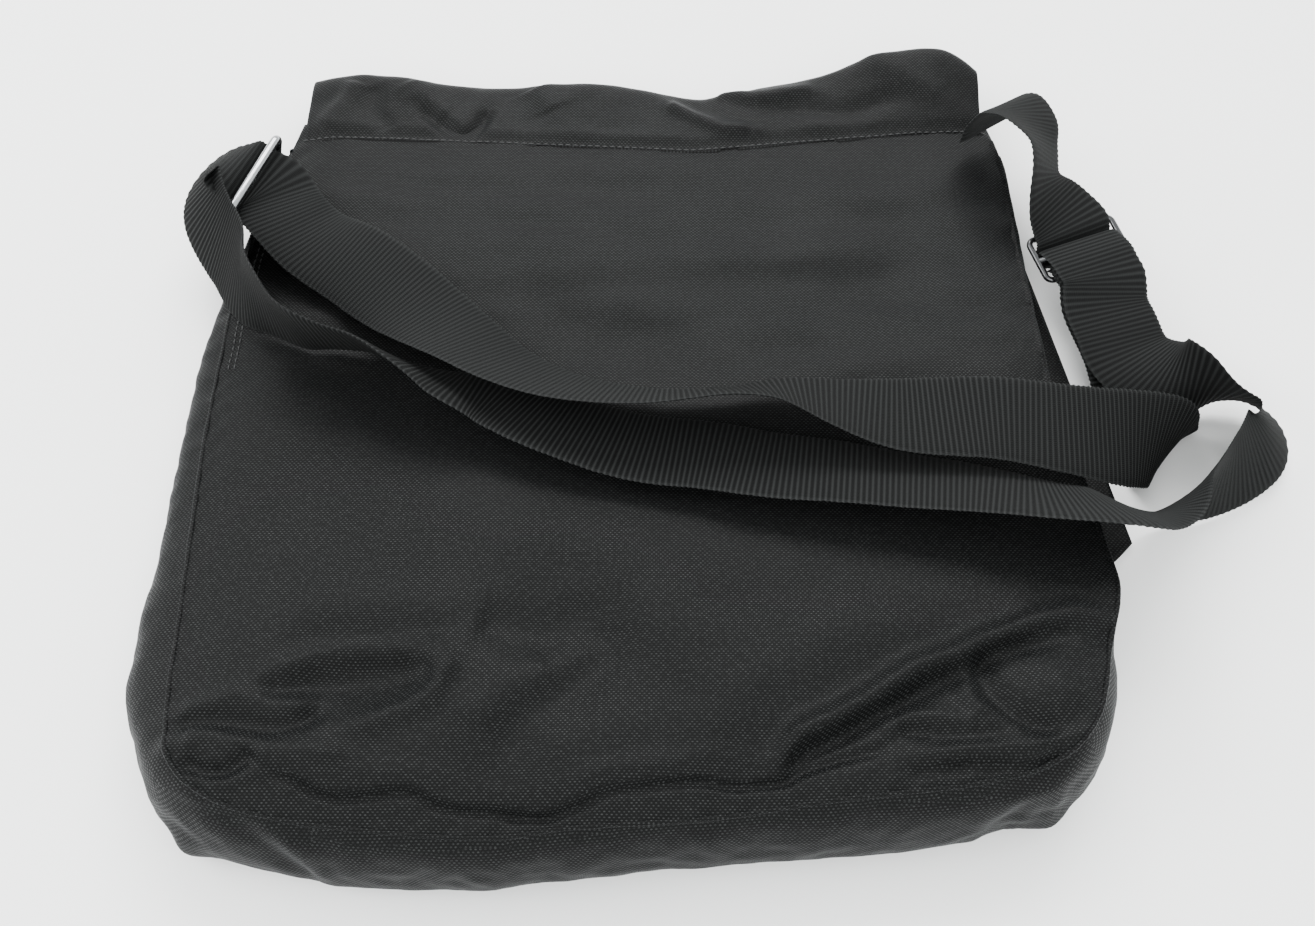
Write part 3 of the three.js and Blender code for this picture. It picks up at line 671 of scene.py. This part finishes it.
def strip_sections(node):
    """Centres and edge directions of a CAD strip, section by section from one end to the other."""
    copy = bpy.data.objects.new("strip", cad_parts[node].data.copy())
    bpy.context.collection.objects.link(copy)
    pick(copy)
    bpy.ops.object.mode_set(mode="EDIT")
    bpy.ops.mesh.select_all(action="SELECT")
    bpy.ops.mesh.remove_doubles(threshold=0.01 * MM)
    bpy.ops.object.mode_set(mode="OBJECT")
    points = points_of(copy)
    beside = {i: set() for i in range(len(points))}
    for edge in copy.data.edges:
        a, b = edge.vertices
        beside[a].add(b)
        beside[b].add(a)
    slim = []
    for face in copy.data.polygons:
        corners = points[list(face.vertices)]
        sides = np.linalg.norm(corners - np.roll(corners, 1, 0), axis=1)
        if sides.min() < 2 * MM and sides.max() > 30 * MM:
            slim.append(set(face.vertices))
    bpy.data.objects.remove(copy)
    walks = (walk_along(a | b, beside) for a in slim for b in slim if len(a & b) == 2)
    sections = next(walk for walk in walks if 4 * len(walk) == len(points))
    centres, edges = [], []
    for section in sections:
        corners = sorted((points[i] for i in section), key=lambda p: np.linalg.norm(p - points[section[0]]))
        edge = (corners[0] + corners[1] - corners[2] - corners[3]) / 2
        edge /= np.linalg.norm(edge)
        if edges and edge @ edges[-1] < 0:
            edge = -edge
        centres.append(sum(corners) / 4)
        edges.append(edge)
    return np.array(centres), np.array(edges)


def even_stations(centres, edges, step):
    """The same strip with its sections a fixed step apart, on a smooth curve."""
    count = len(centres)
    padded = np.vstack([2 * centres[0] - centres[1], centres, 2 * centres[-1] - centres[-2]])
    fine_centres, fine_edges = [], []
    for i in range(count - 1):
        a, b, c, d = padded[i:i + 4]
        for t in np.linspace(0, 1, 24, endpoint=False):
            bend = 2 * a - 5 * b + 4 * c - d + t * (3 * (b - c) + d - a)
            fine_centres.append(b + 0.5 * t * (c - a + t * bend))
            fine_edges.append(edges[i] * (1 - t) + edges[i + 1] * t)
    fine_centres = np.array(fine_centres + [centres[-1]])
    fine_edges = np.array(fine_edges + [edges[-1]])
    along = np.append(0, np.cumsum(np.linalg.norm(np.diff(fine_centres, axis=0), axis=1)))
    stops = np.linspace(0, along[-1], max(int(along[-1] / step), 2) + 1)

    def at_stops(values, spread):
        return np.column_stack([evened(np.interp(stops, along, row), spread / step) for row in values.T])

    centre = at_stops(fine_centres, 1.2 * MM)
    edge = at_stops(fine_edges, 9 * MM)
    run = np.column_stack([evened(slope, 5 * MM / step) for slope in np.gradient(centre, axis=0).T])
    run /= np.linalg.norm(run, axis=1)[:, None]
    edge -= (edge * run).sum(1)[:, None] * run
    edge /= np.linalg.norm(edge, axis=1)[:, None]
    return stops, centre, edge, np.cross(run, edge)


def ribbed_strip(name, node):
    stops, centre, edge, up = even_stations(*strip_sections(node), RIB_PITCH / (4))
    columns = 11
    side = np.sin(np.linspace(-0.5, 0.5, columns) * math.pi)
    half = WEBBING_WIDTH / 2
    rib = np.cos(2 * math.pi * stops / RIB_PITCH)
    body = np.sqrt(1 - np.abs(side) ** 10)
    uneven = waves(centre, 5 * MM, 31)
    rows = []
    for face in (1, -1):
        for k in range(columns):
            t = side[k] * face
            bulge = 1 + (0.012 * rib + 0.006 * uneven) * abs(t) ** 8
            thick = 0.66 * MM * body[k] + 0.17 * MM * rib * min(body[k] + 0.3, 1)
            rows.append(centre + edge * (half * t * bulge)[:, None] + up * (face * thick)[:, None])
    around = len(rows)
    sections = len(stops)
    points = np.stack(rows, 1).reshape(-1, 3)
    first = np.arange(sections - 1)[:, None] * around + np.arange(around)[None]
    ahead = np.roll(first, -1, 1)
    quads = np.stack([first, ahead, ahead + around, first + around], 2).reshape(-1, 4)
    caps = [list(range(around))[::-1], [(sections - 1) * around + k for k in range(around)]]
    mesh = bpy.data.meshes.new(name)
    mesh.from_pydata(points.tolist(), [], quads.tolist() + caps)
    layer = mesh.uv_layers.new(name="flat")
    corners = np.zeros(len(mesh.loops), int)
    mesh.loops.foreach_get("vertex_index", corners)
    turns = np.concatenate([side, -side])[corners % around]
    layer.data.foreach_set("uv", np.column_stack([stops[corners // around], turns * half]).ravel())
    piece = bpy.data.objects.new(name, mesh)
    bpy.context.collection.objects.link(piece)
    mesh.materials.append(webbing.material)
    pick(piece)
    bpy.ops.object.mode_set(mode="EDIT")
    bpy.ops.mesh.select_all(action="SELECT")
    bpy.ops.mesh.normals_make_consistent(inside=False)
    bpy.ops.object.mode_set(mode="OBJECT")
    bpy.ops.object.shade_smooth()
    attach(piece, "root")
    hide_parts(node)
    print(name, f"{stops[-1]:.3f} m long,", len(mesh.polygons), "faces")
    return piece


ribbed_strip("lower_strand", "strap_lower")
ribbed_strip("upper_strand", "strap_upper")
ribbed_strip("corner_strap", "strap_corner")
ribbed_strip("ring_loop", "ring_tab")

# %% [markdown]
# The ring is bent from round wire and the slider is cast with round bars. Both start as a torus, which is
# pulled apart into four rounded corners: its halves move outwards and the faces between them become the
# straight bars.
# %% The ring and the slider
RING_TURN, RING_TILT = math.radians(72), math.radians(-72)
SLIDER_TURN, SLIDER_TILT = math.radians(21), math.radians(10)


def wire_frame(name, width, height, wire, corner):
    """A closed frame of round wire. width and height are those of its centre line."""
    bpy.ops.mesh.primitive_torus_add(
        major_radius=corner, minor_radius=wire / 2, major_segments=48, minor_segments=20)
    piece = bpy.context.active_object
    piece.name = name
    points = points_of(piece)
    around = np.arctan2(points[:, 1], points[:, 0]) - 1e-4
    points[:, 0] += np.sign(np.cos(around)) * (width / 2 - corner)
    points[:, 1] += np.sign(np.sin(around)) * (height / 2 - corner)
    move_points(piece, points)
    return piece


def place_fitting(piece, node, turn, tilt):
    low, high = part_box(node)
    matrix = Euler((0, 0, turn)).to_matrix() @ Euler((tilt, 0, 0)).to_matrix()
    piece.data.transform(matrix.to_4x4())
    points = points_of(piece)
    middle = (points.min(0) + points.max(0)) / 2
    move_points(piece, points - middle + np.array((low + high) / 2))
    pick(piece)
    bpy.ops.object.shade_smooth()
    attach(piece, "root")
    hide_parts(node)
    print(piece.name, size_of(piece))


wire_ring = wire_frame("wire_ring", 45 * MM, 13 * MM, 3.9 * MM, 3.6 * MM)
wire_ring.data.materials.append(chrome.material)
place_fitting(wire_ring, "ring", RING_TURN, RING_TILT)

slide = wire_frame("slide", 41 * MM, 20.6 * MM, 2.7 * MM, 3 * MM)
bpy.ops.mesh.primitive_cylinder_add(
    radius=1.4 * MM, depth=40.5 * MM, vertices=24, rotation=(0, math.pi / 2, 0))
bar = bpy.context.active_object
bpy.ops.object.transform_apply(location=True, rotation=True, scale=True)
pick(slide, bar)
bpy.ops.object.join()
slide.data.materials.append(lacquer.material)
place_fitting(slide, "slider", SLIDER_TURN, SLIDER_TILT)

# %% [markdown]
# Stitches are single short lengths of thread, pressed into the cloth. Each row is dropped on to the cloth
# below it, so it follows every fold.
# %% The stitches
def surface_under(*pieces):
    trees = []
    for piece in pieces:
        corners = [vertex.co for vertex in piece.data.vertices]
        trees.append(BVHTree.FromPolygons(corners, [face.vertices for face in piece.data.polygons]))

    def drop(x, y):
        hits = [tree.ray_cast(Vector((x, y, 0.2)), Vector((0, 0, -1))) for tree in trees]
        hits = [hit for hit in hits if hit[0] is not None]
        return max(hits, key=lambda hit: hit[0].z)[:2] if hits else (None, None)

    return drop


def stitch_row(name, path, drop, length=2.4 * MM, pitch=3.4 * MM, thick=0.32 * MM):
    plan = np.array(path, float) * MM
    along = np.append(0, np.cumsum(np.linalg.norm(np.diff(plan, axis=0), axis=1)))
    points, faces = [], []
    for middle in np.arange(pitch, along[-1] - pitch, pitch):
        ends = []
        for at in (middle - length / 2, middle, middle + length / 2):
            x, y = (np.interp(at, along, plan[:, k]) for k in (0, 1))
            hit, normal = drop(x, y)
            if hit is None:
                break
            ends.append(hit + normal * thick * (0.75 if at == middle else 0.1))
        if len(ends) < 3:
            continue
        run = (ends[2] - ends[0]).normalized()
        beside = run.cross(Vector((0, 0, 1))).normalized()
        above = beside.cross(run)
        base = len(points)
        for end, girth in zip(ends, (0.45, 1, 0.45)):
            for k in range(6):
                turn = k * math.pi / 3
                points.append(end + (beside * math.cos(turn) + above * math.sin(turn)) * thick * girth)
        for ring in range(2):
            for k in range(6):
                a, b = base + ring * 6 + k, base + ring * 6 + (k + 1) % 6
                faces.append((a, b, b + 6, a + 6))
        faces.append(tuple(range(base + 5, base - 1, -1)))
        faces.append(tuple(range(base + 12, base + 18)))
    mesh = bpy.data.meshes.new(name)
    mesh.from_pydata([tuple(p) for p in points], [], faces)
    piece = bpy.data.objects.new(name, mesh)
    bpy.context.collection.objects.link(piece)
    mesh.materials.append(sewing.material)
    pick(piece)
    bpy.ops.object.mode_set(mode="EDIT")
    bpy.ops.mesh.select_all(action="SELECT")
    bpy.ops.mesh.normals_make_consistent(inside=False)
    bpy.ops.object.mode_set(mode="OBJECT")
    bpy.ops.object.shade_smooth()
    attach(piece, "root")
    print(name, len(points) // 18, "stitches")


drop = surface_under(back_cloth, flap_cloth)
stitch_row("flap_stitches", [(x, y + 1.2) for x, y in SEAM], drop)
LEFT_RIM = [(-163, 140), (-169, 117), (-172, 58), (-171, 20)]
for row_name, offset in (("left_stitches", 4), ("left_stitches_inner", 6.5)):
    stitch_row(row_name, [(x + offset, y) for x, y in LEFT_RIM], drop)

# %% [markdown]
# The table is pale and plain. Broad soft light comes from above and behind, with weaker ones from the left
# and the front, so that the folds near the bottom show their lit tops and their hollows don't go black.
# %% The table, the light and the camera
bpy.ops.mesh.primitive_plane_add(size=8, location=(0, 0, -0.0002))
table = bpy.context.active_object
table.name = "table"
paper = Finish("pale table", Roughness=0.9, Base_Color=(0.9, 0.9, 0.9, 1))
table.data.materials.append(paper.material)

world = bpy.data.worlds.new("soft room")
bpy.context.scene.world = world
world.use_nodes = True
world.node_tree.nodes["Background"].inputs[0].default_value = (0.97, 1.0, 0.99, 1)
world.node_tree.nodes["Background"].inputs[1].default_value = 2.3


def soft_light(name, place, target, size, power):
    lamp = bpy.data.lights.new(name, "AREA")
    lamp.shape = "RECTANGLE"
    lamp.size, lamp.size_y = size
    lamp.energy = power
    holder = bpy.data.objects.new(name, lamp)
    bpy.context.collection.objects.link(holder)
    holder.location = place
    holder.rotation_euler = (Vector(target) - Vector(place)).to_track_quat("-Z", "Y").to_euler()


soft_light("back light", (0.1, 1.6, 1.7), (0, 0, 0), (2.0, 1.0), 90)
soft_light("front light", (0.0, -1.3, 1.4), (0, 0, 0), (1.6, 1.0), 25)
soft_light("left light", (-1.1, 0.1, 0.8), (0, 0, 0), (0.8, 0.8), 16)

camera = bpy.data.objects.new("camera", bpy.data.cameras.new("camera"))
bpy.context.collection.objects.link(camera)
camera.location = (0.0068, -0.262, 0.4507)
camera.rotation_euler = (math.radians(29.8), 0, 0)
camera.data.sensor_width = 36
camera.data.lens = 34.41
bpy.context.scene.camera = camera
